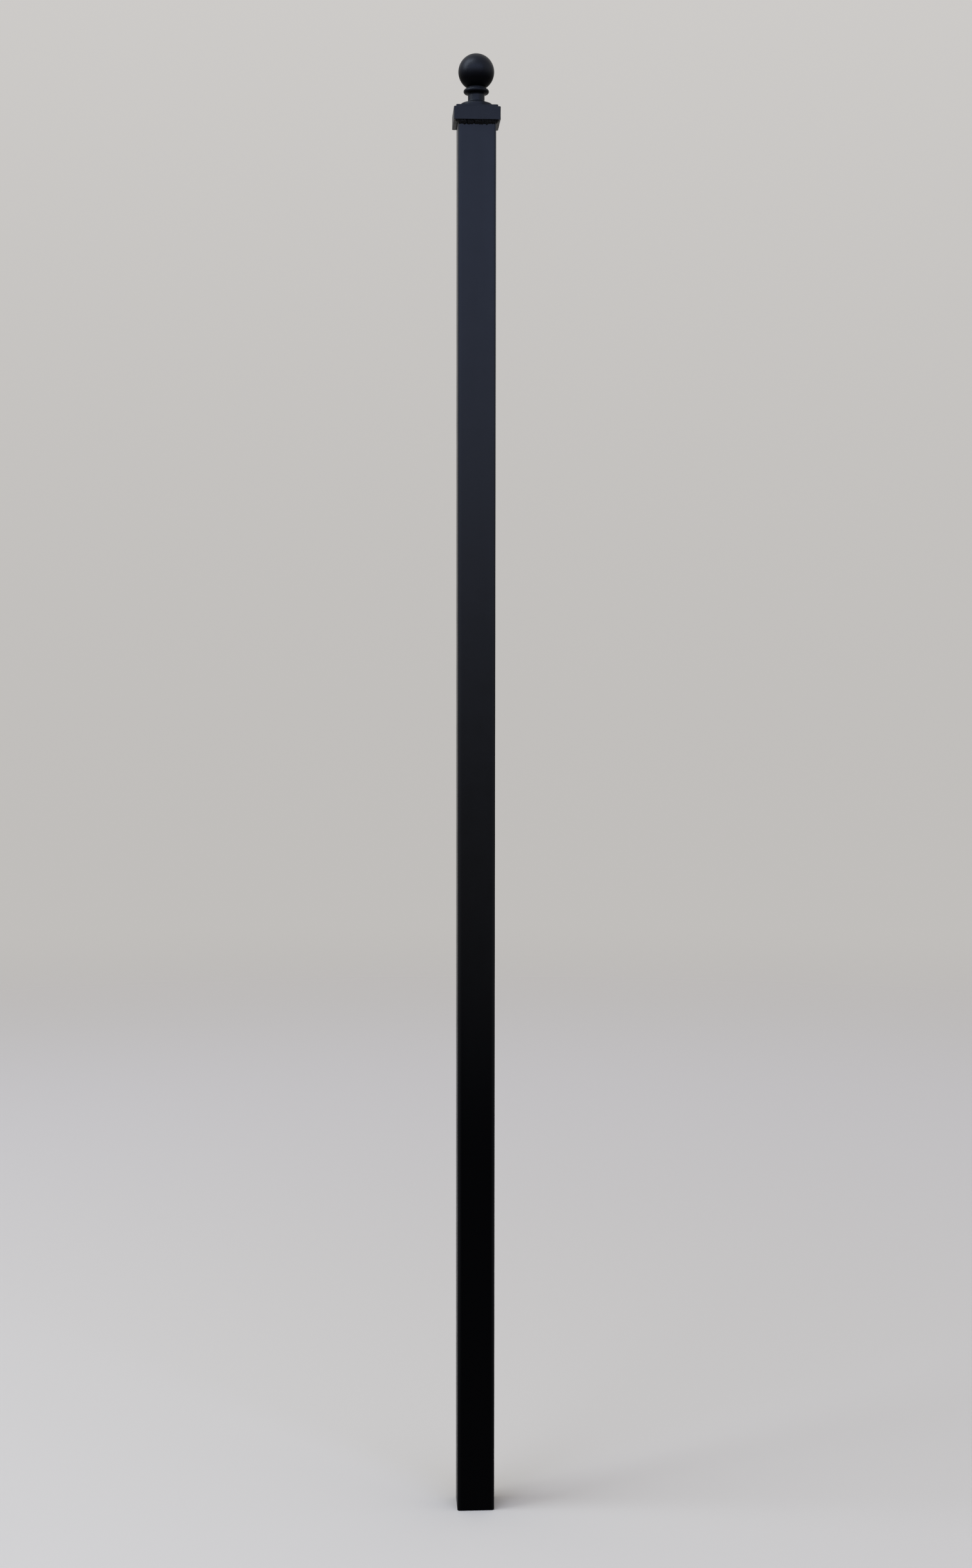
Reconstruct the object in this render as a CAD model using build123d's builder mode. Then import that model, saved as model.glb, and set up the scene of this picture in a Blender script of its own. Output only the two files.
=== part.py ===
"""A welded steel fence post: a square tube, a cast cap over its upper end and a ball finial on the cap.

Millimetres, +Z up. The origin is the middle of the tube's cut foot, so the whole post stands on z = 0.
The front is -Y. Two weld beads, front and back, hold the cap to the tube; its two sides are bare.
"""
from build123d import *
import math
import os

# Tube
tube_size = 50.8  # 2 inches over the flats
tube_wall = 2.1  # 14 gauge
tube_corner_radius = 3.6
foot_to_cap = 1881.0  # from the foot to the cap's lower edge

# Cap casting
cap_size = 62.0
skirt_height = 17.4
cap_wall = 4.8  # the roof over the tube's end, and the boss's crown
cap_corner_radius = 1.4  # the four upright edges
cap_edge_radius = 0.8  # the edges of the two steps
shelf_width = 3.2
riser_height = 3.1
tube_clearance = 0.3  # all round the tube in the cap's pocket

# Round boss in the middle of the cap
boss_radius = 21.6
boss_height = 8.9  # from the ledge to the flat seat of the finial
boss_shoulder_radius = 2.4
shoulder_height = 4.1  # from the ledge to the middle of the shoulder's arc
boss_root_bevel = 0.8  # the small slope where the boss meets the ledge
recess_radius = 12.0  # of the hollow under the crown, round the tenon's head

# Ball finial
ball_radius = 24.0
ball_height = 39.6  # from the seat to the ball's centre
neck_radius = 11.2
neck_flare = 1.3  # the cove at the neck's foot
bead_height = 13.9  # from the seat to the bead's widest line
bead_radius = 3.3  # of the bead's half-round section
bead_reach = 17.0  # from the axis to the bead's widest line
bead_bevel = 1.3  # height of the slope under the bead, down to the neck
waist_radius = 12.4  # the short collar between bead and ball
tenon_radius = 6.0
tenon_clearance = 0.3
head_radius = 9.0  # the tenon is headed over under the boss's crown, like a rivet
head_height = 3.0
head_bevel = 1.6

# Weld beads between the cap's underside and the tube
weld_reach = 4.5  # out from the tube, along the cap's underside
weld_drop = 6.0  # down the tube
weld_crown = 0.7  # how far the face stands out of the straight line between its toes
weld_overrun = 4.0  # past the tube's sides
weld_end_reach = 0.45  # share of the reach that is left at the bead's ends
weld_end_drop = 0.25  # share of the drop that is left there
weld_end_wrap = 0.3  # share that is left of how far the bead wraps the tube's corner
weld_ripple = 0.5  # how much the reach and drop swell and shrink
weld_pitch = 5.2  # from one ripple to the next
weld_crest = 0.7  # how far along each ripple its crest lies

half_tube = tube_size / 2
bore = tube_size - 2 * tube_wall
pocket = tube_size + 2 * tube_clearance
upper_step = cap_size - 2 * shelf_width
skirt_top = foot_to_cap + skirt_height
ledge = skirt_top + riser_height
tube_top = ledge - cap_wall
seat = ledge + boss_height
crown_under = seat - cap_wall


# The tube is one length, open at the foot. Its upper end stops against the cap's roof.
with BuildPart() as post_tube:
    with BuildSketch(Plane.XY):
        RectangleRounded(tube_size, tube_size, tube_corner_radius)
        RectangleRounded(bore, bore, tube_corner_radius - tube_wall, mode=Mode.SUBTRACT)
    extrude(amount=tube_top)


# The cap is one casting: a square skirt, one small step, and a round boss like a low cone. Its crown slopes from
# the seat to a rounded shoulder, and runs straight into the shoulder's arc. The tube's pocket is in its
# underside, with a recess above it.
shoulder_centre = (boss_radius - boss_shoulder_radius, ledge + shoulder_height)
crown_run = shoulder_centre[0] - neck_radius - neck_flare
crown_drop = seat - shoulder_centre[1]
crown_angle = math.atan2(crown_drop, crown_run)
crown_angle -= math.asin(boss_shoulder_radius / math.hypot(crown_run, crown_drop))
shoulder_start = (
    shoulder_centre[0] + boss_shoulder_radius * math.sin(crown_angle),
    shoulder_centre[1] + boss_shoulder_radius * math.cos(crown_angle),
)

with BuildPart() as post_cap:
    with BuildSketch(Plane.XY.offset(foot_to_cap)):
        RectangleRounded(cap_size, cap_size, cap_corner_radius)
    extrude(amount=skirt_height)
    fillet(post_cap.faces().sort_by(Axis.Z)[-1].edges(), cap_edge_radius)
    with BuildSketch(Plane.XY.offset(skirt_top)):
        RectangleRounded(upper_step, upper_step, cap_corner_radius)
    extrude(amount=riser_height)
    fillet(post_cap.faces().sort_by(Axis.Z)[-1].edges(), cap_edge_radius)
    with BuildSketch(Plane.XZ):
        with BuildLine():
            Polyline(
                (boss_radius, shoulder_centre[1]),
                (boss_radius, ledge + boss_root_bevel),
                (boss_radius + boss_root_bevel, ledge),
                (0, ledge),
                (0, seat),
                (neck_radius + neck_flare, seat),
                shoulder_start,
            )
            CenterArc(shoulder_centre, boss_shoulder_radius, 0, 90 - math.degrees(crown_angle))
        make_face()
    revolve(axis=Axis.Z)
    with BuildSketch(Plane.XY.offset(foot_to_cap)):
        RectangleRounded(pocket, pocket, tube_corner_radius + tube_clearance)
    extrude(amount=tube_top - foot_to_cap, mode=Mode.SUBTRACT)
    with BuildSketch(Plane.XY.offset(tube_top)):
        Circle(recess_radius)
    extrude(amount=crown_under - tube_top, mode=Mode.SUBTRACT)
    with BuildSketch(Plane.XY.offset(crown_under)):
        Circle(tenon_radius + tenon_clearance)
    extrude(amount=cap_wall, mode=Mode.SUBTRACT)


# The finial is one turned shape: headed tenon, neck with a coved foot, half-round bead, waist and ball. A short
# slope leads from the neck to the lowest point of the bead.
ball_centre = seat + ball_height
bead_centre = (bead_reach - bead_radius, seat + bead_height)
bead_top = bead_centre[1] + math.sqrt(bead_radius**2 - (waist_radius - bead_centre[0]) ** 2)
bead_foot = bead_centre[1] - bead_radius
ball_foot = ball_centre - math.sqrt(ball_radius**2 - waist_radius**2)
head_foot = crown_under - head_height

with BuildPart() as ball_finial:
    with BuildSketch(Plane.XZ):
        with BuildLine():
            Polyline(
                (0, ball_centre + ball_radius),
                (0, head_foot),
                (head_radius - head_bevel, head_foot),
                (head_radius, head_foot + head_bevel),
                (head_radius, crown_under),
                (tenon_radius, crown_under),
                (tenon_radius, seat),
                (neck_radius + neck_flare, seat),
            )
            RadiusArc(
                (neck_radius + neck_flare, seat),
                (neck_radius, seat + neck_flare),
                neck_flare,
            )
            Polyline(
                (neck_radius, seat + neck_flare),
                (neck_radius, bead_foot - bead_bevel),
                (bead_centre[0], bead_foot),
            )
            ThreePointArc(
                (bead_centre[0], bead_foot),
                (bead_reach, bead_centre[1]),
                (waist_radius, bead_top),
            )
            Line((waist_radius, bead_top), (waist_radius, ball_foot))
            ThreePointArc(
                (waist_radius, ball_foot),
                (ball_radius, ball_centre),
                (0, ball_centre + ball_radius),
            )
        make_face()
    revolve(axis=Axis.Z)


def weld_section(x, ripple):
    """One section of the bead at x, as the points of its crowned face and how far back it wraps the corner."""
    fade = max(0.0, 1 - (weld_end - abs(x)) / weld_overrun)
    reach = (weld_reach + ripple) * (1 - (1 - weld_end_reach) * fade)
    drop = (weld_drop + ripple) * (1 - (1 - weld_end_drop) * fade)
    wrap = tube_corner_radius * (1 - (1 - weld_end_wrap) * fade)
    outer, toe = (-half_tube - reach, foot_to_cap), (-half_tube, foot_to_cap - drop)
    lean = math.hypot(reach, drop)
    middle = (
        (outer[0] + toe[0]) / 2 - weld_crown * drop / lean,
        (outer[1] + toe[1]) / 2 - weld_crown * reach / lean,
    )
    return outer, middle, toe, wrap - half_tube


# The front bead is a ruled loft: each ripple swells slowly to its crest and falls off behind it. It lies flat
# along the cap's underside, and its back is then cut to the tube.
weld_end = half_tube + weld_overrun
ripples = round(2 * weld_end / weld_pitch)
stations = [(k, -weld_ripple) for k in range(ripples + 1)]
stations += [(k + weld_crest, weld_ripple) for k in range(ripples)]

with BuildPart() as weld_front:
    for place, ripple in sorted(stations):
        x = weld_end * (2 * place / ripples - 1)
        outer, middle, toe, rear = weld_section(x, ripple)
        with BuildSketch(Plane.YZ.offset(x)):
            with BuildLine():
                ThreePointArc(outer, middle, toe)
                Polyline(toe, (rear, toe[1]), (rear, foot_to_cap), outer)
            make_face()
    loft(ruled=True)
    with BuildSketch(Plane.XY.offset(foot_to_cap)):
        RectangleRounded(tube_size, tube_size, tube_corner_radius)
    extrude(amount=-2 * weld_drop, mode=Mode.SUBTRACT)


# The back bead is the same run, seen from the other side of the post.
with BuildPart() as weld_back:
    add(weld_front.part.rotate(Axis.Z, 180))


post_tube.part.label = "post_tube"
post_cap.part.label = "post_cap"
ball_finial.part.label = "ball_finial"
weld_front.part.label = "weld_front"
weld_back.part.label = "weld_back"

os.makedirs("parts", exist_ok=True)
for piece in (post_tube, post_cap, ball_finial, weld_front, weld_back):
    export_step(piece.part, f"parts/{piece.part.label}.step")
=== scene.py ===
# %% [markdown]
# # A fence post with a ball cap
#
# The post is a square steel tube with a cast iron cap over its upper end and a ball finial on the cap. Two
# weld beads hold the cap, and black enamel covers everything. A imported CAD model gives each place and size.
# What it lacks is the surface: castings are never quite flat, a weld is a row of ripples, and sprayed
# enamel has a skin like orange peel. This notebook works those out.
#
# ## The frame
#
# The CAD model comes in first, as a fixed frame. Nothing in it is moved, so a new piece is right when it
# lies where its CAD node lies.

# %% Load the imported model
import math

import bpy
import numpy as np
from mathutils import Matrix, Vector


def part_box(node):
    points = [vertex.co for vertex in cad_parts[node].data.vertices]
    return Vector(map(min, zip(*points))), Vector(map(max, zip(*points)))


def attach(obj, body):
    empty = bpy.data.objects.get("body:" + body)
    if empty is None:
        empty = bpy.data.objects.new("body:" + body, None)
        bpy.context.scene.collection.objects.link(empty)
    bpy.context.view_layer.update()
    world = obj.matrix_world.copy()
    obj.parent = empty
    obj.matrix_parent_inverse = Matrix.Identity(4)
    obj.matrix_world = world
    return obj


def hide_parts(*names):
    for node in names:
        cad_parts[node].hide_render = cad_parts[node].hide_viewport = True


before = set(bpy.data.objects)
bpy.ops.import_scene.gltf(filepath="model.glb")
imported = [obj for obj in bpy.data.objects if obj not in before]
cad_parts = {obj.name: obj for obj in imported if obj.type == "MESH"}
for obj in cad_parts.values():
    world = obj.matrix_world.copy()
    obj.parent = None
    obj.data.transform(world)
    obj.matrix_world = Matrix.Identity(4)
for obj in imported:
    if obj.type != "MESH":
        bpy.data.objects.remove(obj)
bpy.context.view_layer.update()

# %% [markdown]
# ## A skin of rings
#
# Every piece of this post is a row of closed rings: square ones on the tube, square ones that turn round on
# the cap, round ones on the finial, and small ones side by side along each weld bead. They could be made
# with extrusions, bevels and a lathe tool. A grid of points is plainer, because one function then makes all
# the pieces, and the grid can be pushed in and out by a formula before it becomes a mesh.

# %% Turn a grid of points into a closed piece
def skin(name, grid, poles=False):
    """Makes one closed mesh from a grid of points in millimetres, rows by columns.

    The columns run once round and meet again. So do the rows, as on a ring. With poles the first and last
    rows are each drawn into their middle point instead. The signed volume is the sum over the triangles
    (a, b, c) of a . (b x c) / 6, and where it is negative the faces are turned round.
    """
    rows, columns = grid.shape[:2]
    points = grid.reshape(-1, 3) / 1000
    number = np.arange(rows * columns).reshape(rows, columns)
    if not poles:
        number = np.vstack([number, number[:1]])
    beside = np.roll(number, -1, axis=1)
    quads = np.stack([number[:-1], beside[:-1], beside[1:], number[1:]], -1).reshape(-1, 4)
    fans = np.zeros((0, 3), int)
    if poles:
        top, foot = len(points), len(points) + 1
        points = np.vstack([points, points[number[0]].mean(0), points[number[-1]].mean(0)])
        fans = np.vstack([
            np.stack([np.full(columns, top), beside[0], number[0]], -1),
            np.stack([np.full(columns, foot), number[-1], beside[-1]], -1),
        ])
    triangles = np.vstack([quads[:, :3], quads[:, [0, 2, 3]], fans])
    a, b, c = (points[triangles[:, k]] for k in range(3))
    volume = (a * np.cross(b, c)).sum() / 6
    turn = 1 if volume > 0 else -1
    mesh = bpy.data.meshes.new(name)
    mesh.from_pydata(points.tolist(), [], quads[:, ::turn].tolist() + fans[:, ::turn].tolist())
    mesh.polygons.foreach_set("use_smooth", np.ones(len(mesh.polygons), bool))
    mesh.update()
    piece = bpy.data.objects.new(name, mesh)
    bpy.context.scene.collection.objects.link(piece)
    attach(piece, "root")
    print(f"{name}: {len(triangles)} triangles, {abs(volume) * 1e6:.1f} cm3")
    return piece

# %% Rings, square or round
corner_steps, flat_steps = 8, 20


def ring_walk():
    """Walks once round a square with rounded corners, anticlockwise.

    Gives for each column the corner it belongs to, as signs of x and y, the direction in which the corner's
    radius points, and the even angle that the same column takes on a round ring. Along a flat the direction
    stays and the signs pass from one corner's to the next's.
    """
    turn = np.r_[np.linspace(0, 90, corner_steps + 1), np.full(flat_steps - 1, 90)]
    share = np.r_[np.zeros(corner_steps + 1), np.linspace(0, 1, flat_steps + 1)[1:-1]]
    quarter = 90 * np.arange(4)[:, None]
    direction = np.radians(turn + quarter).ravel()
    signs = np.array([(1, 1), (-1, 1), (-1, -1), (1, -1)])[:, None]
    signs = signs * (1 - share)[:, None] + np.roll(signs, -1, axis=0) * share[:, None]
    step = 90 / (corner_steps + flat_steps)
    even = 45 + step * (np.arange(corner_steps + flat_steps) - corner_steps / 2)
    return signs.reshape(-1, 2), direction, np.radians(even + quarter).ravel()


corner_signs, corner_turn, even_turn = ring_walk()


def rings(outline):
    """Carries an outline round the post's axis.

    Each row of the outline is (reach, height, corner radius, round). A square ring is
    signs * (reach - radius) + direction * radius. A round one is reach * (cos, sin) of the even angles. The
    last column says how much of each: 0 is square and 1 is round.
    """
    reach, height, radius, roundness = (outline[:, k, None, None] for k in range(4))
    direction = np.stack([np.cos(corner_turn), np.sin(corner_turn)], -1)
    circle = np.stack([np.cos(even_turn), np.sin(even_turn)], -1)
    square = corner_signs * (reach - radius) + direction * radius
    flat = square * (1 - roundness) + circle * reach * roundness
    return np.concatenate([flat, np.broadcast_to(height, (*flat.shape[:2], 1))], -1)


print("points round each ring:", len(even_turn))

# %% [markdown]
# ## Outlines with soft corners
#
# No edge on a painted casting is sharp. Sand leaves it rounded and the paint fills it further. A Bevel
# modifier could round the finished mesh, but here the outline itself gets its arcs, each with its own
# radius. Beside each arc there is one more row of points, so that the flats next to it shade flat.

# %% Round an outline's corners
def softened(corners, closed=True, steps=6, support=0.35, longest=3.0):
    """Rounds the corners of an outline whose rows are (reach, height, corner radius, round, fillet).

    At a corner with the unit vectors u and v towards its neighbours, the fillet's arc touches both runs at
    fillet / tan(half the angle between u and v), and its centre lies along u + v. The points on it are a turn
    from one touching point to the other about that centre. Long runs are divided.
    """
    corners = np.asarray(corners, float)
    kept = []
    for k, here in enumerate(corners):
        back, on = corners[k - 1, :2] - here[:2], corners[(k + 1) % len(corners), :2] - here[:2]
        if not closed and k in (0, len(corners) - 1) or here[4] == 0:
            kept.append(here[None, :4])
            continue
        u, v = back / np.linalg.norm(back), on / np.linalg.norm(on)
        half = math.acos(np.clip(u @ v, -1, 1)) / 2
        touch = here[4] / math.tan(half)
        centre = here[:2] + (u + v) / np.linalg.norm(u + v) * here[4] / math.sin(half)
        sweep, share = math.pi - 2 * half, np.linspace(0, 1, steps + 1)[:, None]
        first, last = here[:2] + u * touch - centre, here[:2] + v * touch - centre
        arc = centre + (np.sin((1 - share) * sweep) * first + np.sin(share * sweep) * last) / math.sin(sweep)
        rounded = np.vstack([arc[0] + u * support, arc, arc[-1] + v * support])
        kept.append(np.c_[rounded, np.tile(here[2:4], (len(rounded), 1))])
    rows = np.vstack(kept)
    if closed:
        rows = np.vstack([rows, rows[:1]])
    runs = np.linalg.norm(np.diff(rows[:, :2], axis=0), axis=1)
    filled = [
        a + (b - a) * np.linspace(0, 1, math.ceil(run / longest), endpoint=False)[:, None]
        for a, b, run in zip(rows[:-1], rows[1:], runs) if run > 1e-6
    ]
    return np.vstack(filled if closed else [*filled, rows[-1:]])

# %% [markdown]
# ## Unevenness
#
# A casting takes the small waves of its sand mould, and a rolled tube those of its rollers. A Displace
# modifier would do it, but its texture can't be printed or checked. Here the waves are a sum of sines in
# random directions. The seed is fixed, so each run gives the same post. They only push inwards, which keeps
# each piece inside its CAD shape.

# %% Smooth random waves
def waves(points, length, seed, count=60):
    """A smooth random number for each point, mostly from -1 to 1.

    It is the sum of sin(k . p + phase) over waves in random directions, each about as long as asked for,
    divided by the square root of half their count.
    """
    random = np.random.default_rng(seed)
    way = random.normal(size=(count, 3))
    way *= (2 * math.pi / length / random.uniform(0.7, 1.5, count) / np.linalg.norm(way, axis=1))[:, None]
    return np.sin(points @ way.T + random.uniform(0, 2 * math.pi, count)).sum(-1) / math.sqrt(count / 2)


def pressed(grid, depth, length, seed, poles=False):
    """Presses a grid inwards in waves, from nothing down to the whole depth.

    Inwards is the cross product of the step round the ring and the step along the outline. The share of the
    depth is 0.5 + 0.4 * the waves, held between 0 and 1.
    """
    along = np.roll(grid, -1, axis=0) - np.roll(grid, 1, axis=0)
    if poles:
        along[[0, -1]] = along[[1, -2]]
    inwards = np.cross(np.roll(grid, -1, axis=1) - np.roll(grid, 1, axis=1), along)
    inwards /= np.maximum(np.linalg.norm(inwards, axis=-1, keepdims=True), 1e-9)
    amount = np.clip(0.5 + 0.4 * waves(grid, length, seed), 0, 1)
    return grid + inwards * (depth * amount)[..., None]

# %% [markdown]
# ## The tube
#
# This is two inch square tube with rounded corners, rolled from strip and cut square at the foot. The CAD
# node would do for its shape. It is made again for two reasons: its corners get enough points for a smooth
# highlight, and its flats get waves of a few hundredths of a millimetre, which is what makes the light on a
# painted tube waver as it runs down.

# %% Carry the wall's outline round
tube_high = np.array(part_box("post_tube")[1]) * 1000
half, wall, corner = tube_high[0], 2.1, 3.6
tube_outline = softened(
    [
        (half, tube_high[2], corner, 0, 0.25),
        (half, 0, corner, 0, 0.3),
        (half - wall, 0, corner - wall, 0, 0.2),
        (half - wall, tube_high[2], corner - wall, 0, 0.25),
    ],
    steps=3, support=0.4, longest=24.0,
)
tube_grid = pressed(rings(tube_outline), depth=0.07, length=90, seed=3)
tube_skin = skin("tube_skin", tube_grid)
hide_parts("post_tube")

# %% [markdown]
# ## The cap
#
# The cap is an iron casting. From the bottom up it has a square skirt, a small step, a flat ledge and a
# round boss like a low cone with a soft shoulder. One closed outline makes all of it: over the boss, down
# the outside, in under the skirt, up the pocket that holds the tube, and back through the hole for the
# finial's tenon. The rings turn from round to square on the flat ledge, where nothing shows it.
#
# The crown's line touches the arc of the shoulder. Seen from the crown's upper end, the arc's middle lies
# below the line by the angle whose sine is the arc's radius over the distance.

# %% Carry the cap's outline round
cap_low, cap_high = (np.array(c) * 1000 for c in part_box("post_cap"))
skirt, underside, seat = cap_high[0], cap_low[2], cap_high[2]
step_width, cap_corner, cap_wall, play = 3.2, 1.4, 4.8, 0.3
step, skirt_top, ledge = skirt - step_width, underside + 17.4, underside + 20.5
roof, crown_under = ledge - cap_wall, seat - cap_wall
tenon_hole, recess = 6.3, 12.0
boss, shoulder, shoulder_height, crown_start = 21.6, 2.4, 4.1, 12.5
run, fall = boss - shoulder - crown_start, seat - ledge - shoulder_height
crown_slope = math.atan2(fall, run) - math.asin(shoulder / math.hypot(run, fall))
cap_outline = softened([
    (tenon_hole, seat, 0, 1, 0.4),
    (crown_start, seat, 0, 1, 0.6),
    (boss, seat - (boss - crown_start) * math.tan(crown_slope), 0, 1, shoulder),
    (boss, ledge, 0, 1, 1.1),
    (step, ledge, cap_corner, 0, 0.9),
    (step, skirt_top, cap_corner, 0, 0.4),
    (skirt, skirt_top, cap_corner, 0, 0.9),
    (skirt, underside, cap_corner, 0, 0.5),
    (half + play, underside, corner + play, 0, 0.25),
    (half + play, roof, corner + play, 0, 0.2),
    (recess, roof, 0, 1, 0.4),
    (recess, crown_under, 0, 1, 0.2),
    (tenon_hole, crown_under, 0, 1, 0.4),
])
cap_grid = pressed(rings(cap_outline), depth=0.16, length=15, seed=8)
cap_skin = skin("cap_skin", cap_grid)
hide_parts("post_cap")
print(f"the crown slopes {math.degrees(crown_slope):.1f} degrees")

# %% [markdown]
# ## The finial
#
# Ball, waist, bead and neck are one turned pattern, cast in iron. One outline runs from the top of the ball
# to the head of the tenon inside the cap. The ball, the bead and the cove at the neck's foot are drawn as
# arcs. The creases above and below the waist are filled a little, as paint fills them. The waves are
# shallow here, because the eye reads the smallest dent in a ball.

# %% Draw the finial's outline and turn it
ball_low, ball_high = (np.array(c) * 1000 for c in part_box("ball_finial"))
ball, bead, bead_reach, neck, waist = ball_high[0], 3.3, 17.0, 11.2, 12.4
ball_middle, bead_middle, bead_axis = ball_high[2] - ball, seat + 13.9, bead_reach - bead
lip, flare, bead_bevel, tenon, head = 0.12, 1.3, 1.3, 6.0, 9.0


def arc(reach, height, radius, start, stop, steps):
    """Points on a circle round (reach, height), from one angle in degrees to another, as outline rows."""
    angle = np.radians(np.linspace(start, stop, steps))
    rows = np.c_[reach + radius * np.cos(angle), height + radius * np.sin(angle)]
    return np.c_[rows, np.zeros(steps), np.ones(steps), np.zeros(steps)]


finial_outline = softened(
    [
        *arc(0, ball_middle, ball, 89.6, -57.5, 96),
        (waist, ball_middle - math.sqrt(ball**2 - waist**2), 0, 1, 0.6),
        (waist, bead_middle + math.sqrt(bead**2 - (waist - bead_axis) ** 2), 0, 1, 0.45),
        *arc(bead_axis, bead_middle, bead, 96, -90, 36),
        (neck, bead_middle - bead - bead_bevel, 0, 1, 1.2),
        *arc(neck + flare, seat + lip + flare, flare, 180, 270, 10),
        (neck + flare, seat, 0, 1, 0),
        (tenon, seat, 0, 1, 0.1),
        (tenon, crown_under, 0, 1, 0.1),
        (head, crown_under, 0, 1, 0.3),
        (head, ball_low[2], 0, 1, 1.2),
        (0.1, ball_low[2], 0, 1, 0),
    ],
    closed=False, support=0.1, longest=1.5,
)
finial_grid = pressed(rings(finial_outline), depth=0.08, length=20, seed=5, poles=True)
finial_skin = skin("finial_skin", finial_grid, poles=True)
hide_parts("ball_finial")

# %% [markdown]
# ## The weld beads
#
# The cap is held by one rough bead at the front and one at the back, each run by hand along the corner
# under the skirt. Such a bead is a row of frozen drops, each lapped over by the next, and no two have the
# same size or place. Their lobes make the bead's lower edge ragged. Modelling it with a noise texture would
# lose the drops, so they are laid one by one by a formula, and the bead's surface is the smooth maximum of
# them all. The front bead runs on a little past the tube's sides. The back one stops at the tube's corners,
# since nothing of it shows in the photograph.

# %% Work out one bead
front_end = np.array(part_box("weld_front")[1])[0] * 1000 - 0.1
back_end = front_end - 3.0
drop_count, face_steps, back_steps = 19, 30, 8
most_reach, most_drop, least = 4.9, 6.4, 0.02
straight, curved = 0.55, 0.45


def bead_grid(seed, bead_end, steps=440):
    """The grid of a weld bead at the front, in millimetres: rows along it, columns round its section.

    t goes from 0 at the toe under the skirt to 1 at the toe on the tube. Between them the plain face is a mix
    of the straight line (1 - t, t) and the quarter ellipse (cos, sin), times the bead's reach and drop. A
    frozen drop is the cap sqrt(1 - u^2 - v^2), where u is the distance along the bead over the drop's length,
    bowed forward in the middle of the face, and v is the distance across it. The plain face is multiplied by
    the 16-norm of all the caps, which is their maximum with softly filled valleys. Small waves roughen it,
    and towards the bead's ends reach and drop shrink to next to nothing.
    """
    random = np.random.default_rng(seed)
    x = bead_end * np.sin(np.linspace(-1, 1, steps) * 1.55)[:, None]
    t = np.linspace(0, 1, face_steps)[None, :]
    line = np.stack(np.broadcast_arrays(x, 0, 0), -1)
    face = np.stack(np.broadcast_arrays(x, 7 * t, 0), -1)
    middle = np.linspace(-bead_end, bead_end, drop_count) + random.uniform(-0.8, 0.8, drop_count)
    length = random.uniform(2.3, 3.7, drop_count)
    across = random.uniform(0.4, 0.8, drop_count)
    size = random.uniform(0.86, 1.0, drop_count)
    u = (x[..., None] - middle - (1.3 * np.sin(math.pi * t))[..., None]) / length
    v = (t[..., None] - across) / 1.25
    drops = size * np.sqrt(np.maximum(1 - u**2 - v**2, 0))
    stack = (drops**16).sum(-1) ** (1 / 16)
    from_end = bead_end - np.abs(x)
    reach = most_reach + 0.3 * waves(line, 9, seed + 1)
    reach = reach * np.sqrt(1 - np.clip(1 - from_end / 3.2, 0, 1) ** 2)
    drop = (most_drop + 0.5 * waves(line, 8, seed + 2)) * np.clip(from_end / 5.6, 0, 1) ** 0.7
    rough = 0.12 * waves(face, 2.1, seed + 3) + 0.04 * waves(face, 1.0, seed + 4)
    rough = rough * np.clip(from_end / 2, 0, 1)
    out = reach * (straight * (1 - t) + curved * np.cos(math.pi / 2 * t)) * stack + rough * (1 - t) ** 0.3
    down = drop * (straight * t + curved * np.sin(math.pi / 2 * t)) * stack + rough * t**0.3
    flat = half - corner
    bend = flat + np.sqrt(np.maximum(corner**2 - np.maximum(np.abs(x) - flat, 0) ** 2, 0))
    base = np.where(np.abs(x) < half, bend, np.interp(np.abs(x), [half, bead_end], [flat, half - 1.1]))
    y = base + (half - base) * (1 - t) + np.clip(out, least, most_reach)
    z = underside - np.clip(down, least, most_drop)
    up = np.linspace(0, 1, back_steps + 1)[None, 1:]
    y = np.concatenate([y, base + 0 * up], 1)
    z = np.concatenate([z, z[:, -1:] * (1 - up) + underside * up], 1)
    return np.stack([x + 0 * y, -y, z], -1)


weld_beads = []
for side, seed, turn, end in (("front", 11, 1, front_end), ("back", 29, -1, back_end)):
    bead_piece = skin(f"weld_bead_{side}", bead_grid(seed, end) * (turn, turn, 1), poles=True)
    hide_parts(f"weld_{side}")
    weld_beads.append(bead_piece)

# %% [markdown]
# ## Shader sums that read as sums
#
# A material is a drawing of nodes. Laid by hand it grows into a tangle, so this class lets Python draw it.
# A Wire is one output socket. Adding, subtracting or multiplying wires lays Math nodes, and the method lay
# puts down any other node: its settings come first, then the values or wires of its sockets.

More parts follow.
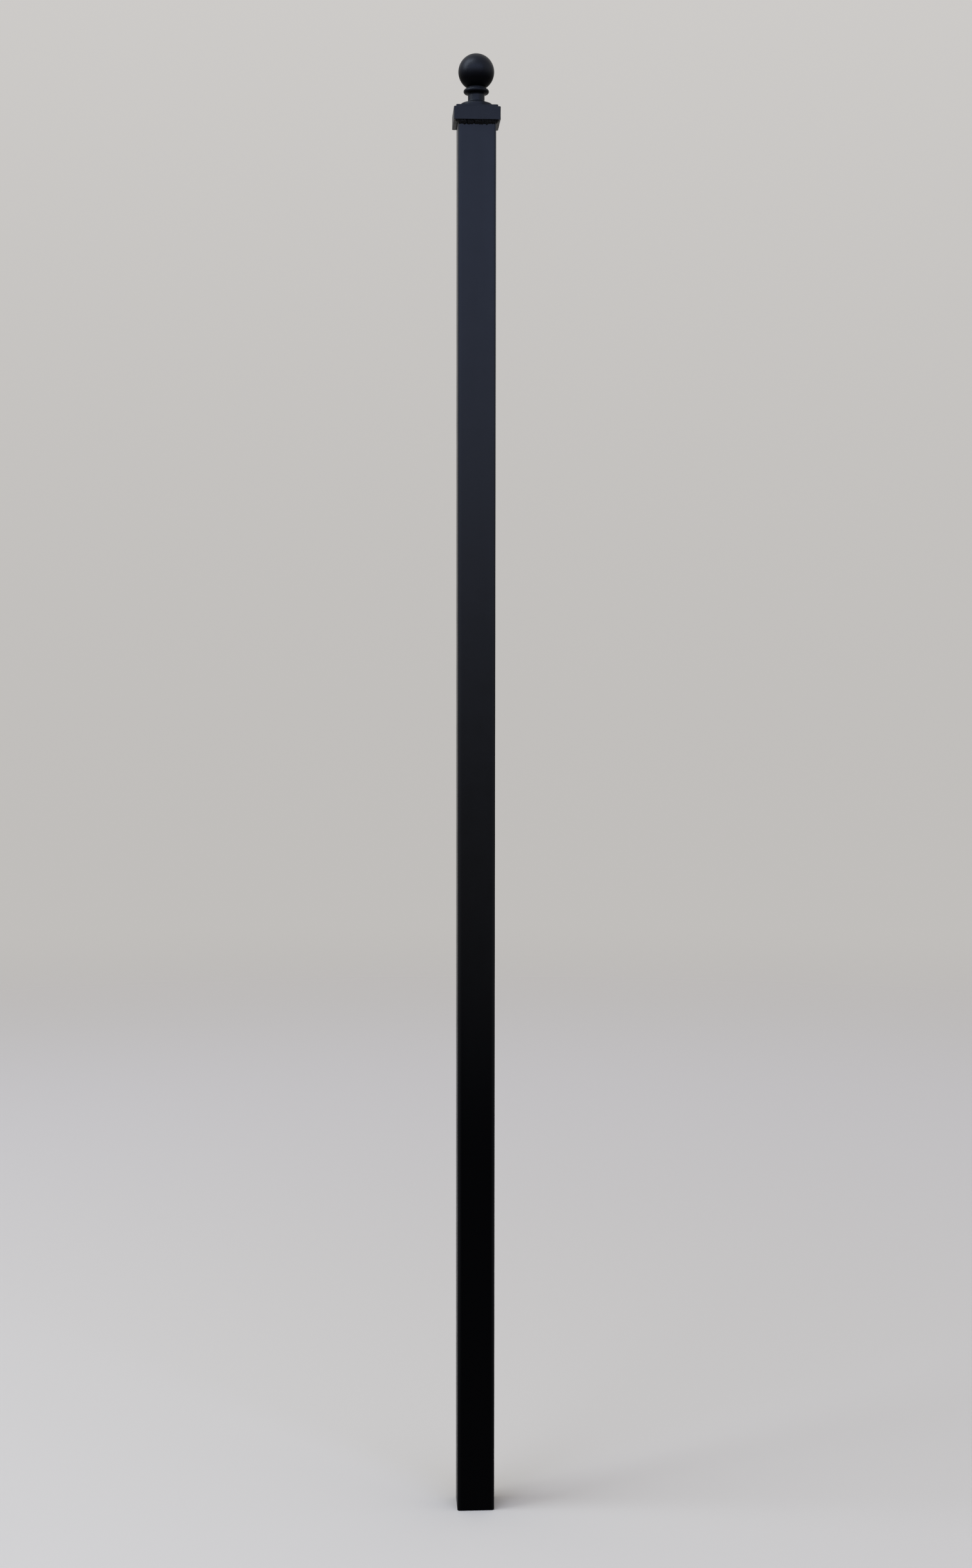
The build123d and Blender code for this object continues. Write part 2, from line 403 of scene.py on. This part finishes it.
# %% A wire with arithmetic
class Wire:
    """One output socket of a material. Sums, differences and products of wires lay Math nodes."""

    def __init__(self, socket):
        self.socket = socket

    def lay(self, kind, settings, output=0, **inputs):
        """Lays a node of that kind in this wire's material and gives the wire of one of its outputs."""
        tree = self.socket.id_data
        node = tree.nodes.new("ShaderNode" + kind)
        for name, value in settings.items():
            setattr(node, name, value)
        for name, value in inputs.items():
            slot = node.inputs[int(name[1:])] if name[1:].isdigit() else node.inputs[name.replace("_", " ")]
            if isinstance(value, Wire):
                tree.links.new(value.socket, slot)
            else:
                slot.default_value = value
        return Wire(node.outputs[output])

    def __add__(self, other):
        return self.lay("Math", {"operation": "ADD"}, _0=self, _1=other)

    def __mul__(self, other):
        return self.lay("Math", {"operation": "MULTIPLY"}, _0=self, _1=other)

    def __sub__(self, other):
        return self.lay("Math", {"operation": "SUBTRACT"}, _0=self, _1=other)

    def __rsub__(self, other):
        return self.lay("Math", {"operation": "SUBTRACT"}, _0=other, _1=self)

    __radd__, __rmul__ = __add__, __mul__

    def between(self, low, high):
        """0 below low, 1 above high, and a smooth step in between."""
        return self.lay(
            "MapRange", {"interpolation_type": "SMOOTHSTEP"}, Value=self, From_Min=low, From_Max=high
        )

    def band(self, start, full, fade, stop):
        """1 between full and fade, 0 outside start and stop, and a smooth step at each side."""
        return self.between(start, full) * (1 - self.between(fade, stop))

    def noise(self, scale, detail=2.0, roughness=0.5, stretch=(1, 1, 1)):
        """Smooth noise from 0 to 1 at this place, with so many lumps to the metre.

        A stretch below 1 draws the lumps out along its axis.
        """
        place = self.lay("Mapping", {}, Vector=self, Scale=stretch)
        return self.lay("TexNoise", {}, Vector=place, Scale=scale, Detail=detail, Roughness=roughness)


def new_material(name):
    """Makes an empty material, and gives it with the wire of the place on the object, in metres."""
    material = bpy.data.materials.new(name)
    material.use_nodes = True
    material.node_tree.nodes.clear()
    place = Wire(material.node_tree.nodes.new("ShaderNodeTexCoord").outputs["Object"])
    return material, place


def surface(material, shader):
    """Wires a shader to the material's output."""
    tree = material.node_tree
    tree.links.new(shader.socket, tree.nodes.new("ShaderNodeOutputMaterial").inputs["Surface"])
    print(f"{material.name}: {len(tree.nodes)} nodes")

# %% [markdown]
# ## Black enamel
#
# The whole post is sprayed with one satin black enamel, and it isn't a flat black. High up the film is
# lighter and bluish: a little chalk, and a painted reflection of a bright sky. Further down it turns grey,
# and the painted reflection and the sheen are lost bit by bit, down to a dead black near the foot, which is
# painted shade. There only the tube's corners keep a grey line, a painted highlight. The undersides of the
# ball and of the bead are nearly as dead, a painted shade as well. The gloss is cloudy, and the skin is a
# fine orange peel that only shows where a light glances off it. The fades go by the height above the foot,
# and the rest is noise of different sizes. Both are read at the object's own coordinates, so that they stay
# put.
#
# The sheen could fade in one shader, through a specular level that changes with the height. Here it takes
# two plain shaders, a shaded copy and a lit copy of the same film, and a mix between them that paints the
# sheen, because that can be baked into the exported model and a changing specular level can't.

# %% The enamel that all three finishes share
# The deepest black, and the small sheen of the shaded copy that the painted shade falls to.
deep_black, shaded_copy_sheen = (0.0006, 0.0006, 0.0007), 0.014
# Height bands in metres of the painted shade under the ball and under the bead.
ball_painted_shade, bead_painted_shade = (1.926, 1.931, 1.9375, 1.9575), (1.920, 1.9212, 1.9225, 1.9262)
# Heights in metres where the painted sheen begins, is mostly up and is full.
dead_below, mostly_bright, bright_above = 0.48, 0.92, 1.35
# Heights in metres over which the painted reflection, with a little chalk, rises.
painted_reflection_from, painted_reflection_full = 0.3846, 1.9231


def enamel(name, chalk_and_reflection, gloss, peel_height, lump_height, lump_count, sheen):
    """Makes enamel with its own chalky black, its gloss as a roughness and its sheen as a specular level.

    All heights are in metres. The skin has a fine relief, the peel, and a coarse one with so many lumps to
    the metre. The share of the lit copy, a painted sheen, rises with the height above the foot: 0.68 of it
    comes between 0.48 m and 0.92 m, and the other 0.32 by 1.35 m. Chalk and a painted reflection rise in one
    step, from 0.38 m to 1.92 m. Both are raised along the tube's corners by a painted highlight, in streaks,
    most of all between 0.4 m and 0.7 m, and multiplied by a painted shade under the ball and the bead: 0.07
    under the ball, 0.15 under the bead and 1 elsewhere.
    """
    material, place = new_material(name)
    height = place.lay("SeparateXYZ", {}, output=2, Vector=place)
    runs = place.noise(26.0, detail=3.0, stretch=(1, 1, 0.06))
    # Painted shade: darker under the ball and under the bead.
    free_of_painted_shade = 1 - 0.93 * height.band(*ball_painted_shade) - 0.85 * height.band(*bead_painted_shade)
    # A painted highlight along the tube's corners, in streaks, strongest low down.
    from_axis = place.lay("VectorMath", {"operation": "ABSOLUTE"}, _0=place)
    across, deep = (
        from_axis.lay("SeparateXYZ", {}, output=k, Vector=from_axis).between(0.0195, 0.0245) for k in (0, 1)
    )
    painted_corner_highlight = across * deep * (0.1 + 0.6 * runs)
    painted_corner_highlight = painted_corner_highlight * (0.4 + 0.6 * height.between(0.05, 0.4)) * (1 - 0.5 * height.between(0.7, 1.2))
    # Chalk and a painted reflection, lighter high up, with the painted corner highlight, under the painted
    # shade.
    chalk_and_painted_light = (height.between(painted_reflection_from, painted_reflection_full) * (0.72 + 0.56 * runs) + painted_corner_highlight) * free_of_painted_shade
    blend, grey = {"data_type": "RGBA"}, 0.84 * chalk_and_reflection[1]
    # The painted reflection is grey low down and turns bluish high up.
    chalk_and_painted_sky_tint = place.lay(
        "Mix", blend, output=2, _0=height.between(0.8, 1.8), _6=(grey, grey, grey, 1), _7=(*chalk_and_reflection, 1)
    )
    colour = place.lay("Mix", blend, output=2, _0=chalk_and_painted_light, _6=(*deep_black, 1), _7=chalk_and_painted_sky_tint)
    cloud = place.noise(34.0, detail=4.0, roughness=0.6)
    roughness = gloss + 0.16 * (cloud - 0.5) + 0.03 * chalk_and_painted_light
    fine = place.noise(780.0, detail=1.0)
    coarse = place.noise(lump_count, detail=3.0, roughness=0.55)
    relief = fine * peel_height + coarse * lump_height
    normal = place.lay("Bump", {}, Strength=1.0, Distance=1.0, Height=relief)
    film = {"Base_Color": colour, "Roughness": roughness, "Normal": normal}
    # A shaded and a lit copy of one film, the same but for their sheen.
    shaded_copy, lit_copy = (
        place.lay("BsdfPrincipled", {}, Specular_IOR_Level=level, **film) for level in (shaded_copy_sheen, sheen)
    )
    # Painted sheen: the lit copy's share rises with the height, so the post is darker towards the foot.
    wavering = height + 0.08 * (runs - 0.5)
    painted_sheen_ramp = 0.68 * wavering.between(dead_below, mostly_bright)
    painted_sheen_ramp = painted_sheen_ramp + 0.32 * wavering.between(mostly_bright, bright_above)
    # The painted sheen, with the painted corner highlight, times the painted shade.
    kept = (painted_sheen_ramp + painted_corner_highlight) * free_of_painted_shade
    surface(material, place.lay("MixShader", {}, _0=kept, _1=shaded_copy, _2=lit_copy))
    return material


tube_finish = enamel(
    "tube_finish", chalk_and_reflection=(0.0080, 0.0095, 0.0130), gloss=0.30, sheen=0.095,
    peel_height=1.4e-5, lump_height=4e-5, lump_count=60,
)
casting_finish = enamel(
    "casting_finish", chalk_and_reflection=(0.0050, 0.0059, 0.0082), gloss=0.36, sheen=0.10,
    peel_height=3e-5, lump_height=1.6e-4, lump_count=240,
)
weld_finish = enamel(
    "weld_finish", chalk_and_reflection=(0.0008, 0.0008, 0.0009), gloss=0.45, sheen=0.08,
    peel_height=4e-5, lump_height=1.6e-4, lump_count=500,
)

# %% Paint the pieces
for paint, pieces in (
    (tube_finish, [tube_skin]),
    (casting_finish, [cap_skin, finial_skin]),
    (weld_finish, weld_beads),
):
    for piece in pieces:
        piece.data.materials.clear()
        piece.data.materials.append(paint)
    print(f"{paint.name} is on", ", ".join(piece.name for piece in pieces))

# %% [markdown]
# ## The floor
#
# The post stands on a pale floor that fades into the backdrop. A square plane would show its edges, so the
# floor is a wide disc whose paint turns clear towards the rim. Its own colour is a warm grey, because the
# lamps are bluish and the two together look neutral. It is a little darker near the post and on the side of
# the lamps.

# %% Lay the floor
def disc(name, radius, columns=96, rows=24):
    """A flat disc at z = 0. Row i lies radius * i / rows out, column j at 360 * j / columns degrees."""
    angle = np.linspace(0, 2 * math.pi, columns, endpoint=False)
    reach = radius * np.arange(1, rows + 1)[:, None] / rows
    points = np.stack([reach * np.cos(angle), reach * np.sin(angle), 0 * reach + 0 * angle], -1)
    points = points.reshape(-1, 3)
    number = np.arange(rows * columns).reshape(rows, columns)
    beside = np.roll(number, -1, axis=1)
    quads = np.stack([number[:-1], number[1:], beside[1:], beside[:-1]], -1).reshape(-1, 4)
    mesh = bpy.data.meshes.new(name)
    mesh.from_pydata(points.tolist(), [], [number[0].tolist()] + quads.tolist())
    mesh.update()
    piece = bpy.data.objects.new(name, mesh)
    bpy.context.scene.collection.objects.link(piece)
    return piece


foot_gap, paler_from, palest_from = 0.0004, 0.3, 4.0
near_colour, far_colour = (0.465, 0.43, 0.376, 1), (0.56, 0.53, 0.495, 1)
lamp_side_colour = (0.475, 0.44, 0.375, 1)
floor = disc("floor", 7.0)
floor.location.z = -foot_gap
floor_paint, place = new_material("floor_paint")
away = place.lay("VectorMath", {"operation": "LENGTH"}, output=1, _0=place)
to_lamps = 0 - place.lay("SeparateXYZ", {}, output=1, Vector=place)
far, near_lamps = (distance.between(paler_from, palest_from) for distance in (away, to_lamps))
blend = {"data_type": "RGBA"}
tone = place.lay("Mix", blend, output=2, _0=far, _6=near_colour, _7=far_colour)
tone = place.lay("Mix", blend, output=2, _0=near_lamps, _6=tone, _7=lamp_side_colour)
pale = place.lay("BsdfDiffuse", {}, Color=tone)
clear = place.lay("BsdfTransparent", {})
surface(floor_paint, place.lay("MixShader", {}, _0=away.between(2.5, 6.5), _1=pale, _2=clear))
floor.data.materials.append(floor_paint)

# %% [markdown]
# ## The backdrop
#
# The backdrop is the world itself, a pale grey that is a little brighter overhead. A painted wall would
# stand in the way of views from behind, and the world is there for the camera and for reflections alike.

# %% Hang the backdrop
low_grey, high_grey = (0.53, 0.515, 0.50, 1), (0.70, 0.685, 0.67, 1)
world = bpy.data.worlds.new("backdrop")
bpy.context.scene.world = world
world.use_nodes = True
world.node_tree.nodes.clear()
way = Wire(world.node_tree.nodes.new("ShaderNodeTexCoord").outputs["Generated"])
rise = way.lay("SeparateXYZ", {}, output=2, Vector=way).between(-0.1, 0.7)
sky = way.lay("Mix", blend, output=2, _0=rise, _6=low_grey, _7=high_grey)
backdrop = way.lay("Background", {}, Color=sky, Strength=1.0)
world.node_tree.links.new(
    backdrop.socket, world.node_tree.nodes.new("ShaderNodeOutputWorld").inputs["Surface"]
)
print(f"{world.name}: {len(world.node_tree.nodes)} nodes")

# %% [markdown]
# ## The lamps
#
# Black enamel has hardly any colour of its own. What one sees is what it mirrors, so each lamp is a large
# soft box that stands where some face of the post mirrors it. Two wide boxes behind the camera light the
# front: a bluish one high up, and a dimmer band under it. A box on the left draws the light line down the
# left corner and the left end of the ball's highlight, and a small one above it draws the highlight's
# middle. A weak one on the right keeps that edge of the ball from going black.

# %% Set the lamps
def softbox(name, place, aim, size, power, colour):
    """Sets a rectangular lamp of so many watts at a place in metres, turned to face the point it aims at."""
    light = bpy.data.lights.new(name, "AREA")
    light.shape, light.size, light.size_y = "RECTANGLE", *size
    light.energy, light.color = power, colour
    lamp = bpy.data.objects.new(name, light)
    bpy.context.scene.collection.objects.link(lamp)
    lamp.location = place
    lamp.visible_camera = False
    lamp.rotation_mode = "QUATERNION"
    lamp.rotation_quaternion = (Vector(aim) - lamp.location).to_track_quat("-Z", "Y")
    print(f"{name}: {size[0]} by {size[1]} m, {power} W")


lamps = (  # name, place, aim, size, power, colour
    ("front_high", (-1.6, -7.0, 5.25), (-1.6, 0, 4.2), (15, 4.5), 739, (0.468, 0.60, 1.0)),
    ("front_low", (-1.6, -7.0, 2.45), (-1.6, 0, 2.2), (15, 1.1), 132, (0.72, 0.76, 1.0)),
    ("left_box", (-2.35, -0.5, 3.75), (0, 0, 1.95), (1.5, 2.8), 114, (0.74, 0.84, 1.0)),
    ("left_high", (-1.45, -1.45, 5.4), (0, 0, 1.95), (1.6, 1.6), 52, (0.75, 0.85, 1.0)),
    ("right_box", (2.9, -0.8, 2.6), (0, 0, 1.9), (2.6, 1.6), 13.6, (0.8, 0.88, 1.0)),
)
for row in lamps:
    softbox(*row)

# %% [markdown]
# ## The camera
#
# The photograph was taken from just under 3 m away, 1.18 m above the foot and a little to the left of the
# post. The camera's place and angle were worked out from the post's own corners.

# %% Stand the camera where the photographer stood
image_height, focal_pixels, stand = 2439, 3329, (-0.149, -2.900, 1.177)
yaw, pitch, roll = (math.radians(a) for a in (3.22, -3.49, 0.07))
ahead = np.array([math.sin(yaw) * math.cos(pitch), math.cos(yaw) * math.cos(pitch), math.sin(pitch)])
level = np.array([math.cos(yaw), -math.sin(yaw), 0.0])
upright = np.cross(level, ahead)
right = level * math.cos(roll) + upright * math.sin(roll)
above = upright * math.cos(roll) - level * math.sin(roll)
camera = bpy.data.objects.new("camera", bpy.data.cameras.new("camera"))
bpy.context.scene.collection.objects.link(camera)
camera.data.sensor_width = 36
camera.data.lens = focal_pixels / image_height * camera.data.sensor_width
turned = np.eye(4)
turned[:3] = np.c_[right, above, -ahead, stand]
camera.matrix_world = Matrix(turned.tolist())
bpy.context.scene.camera = camera
bpy.context.scene.view_settings.view_transform = "Standard"
print(f"lens {camera.data.lens:.2f} mm")
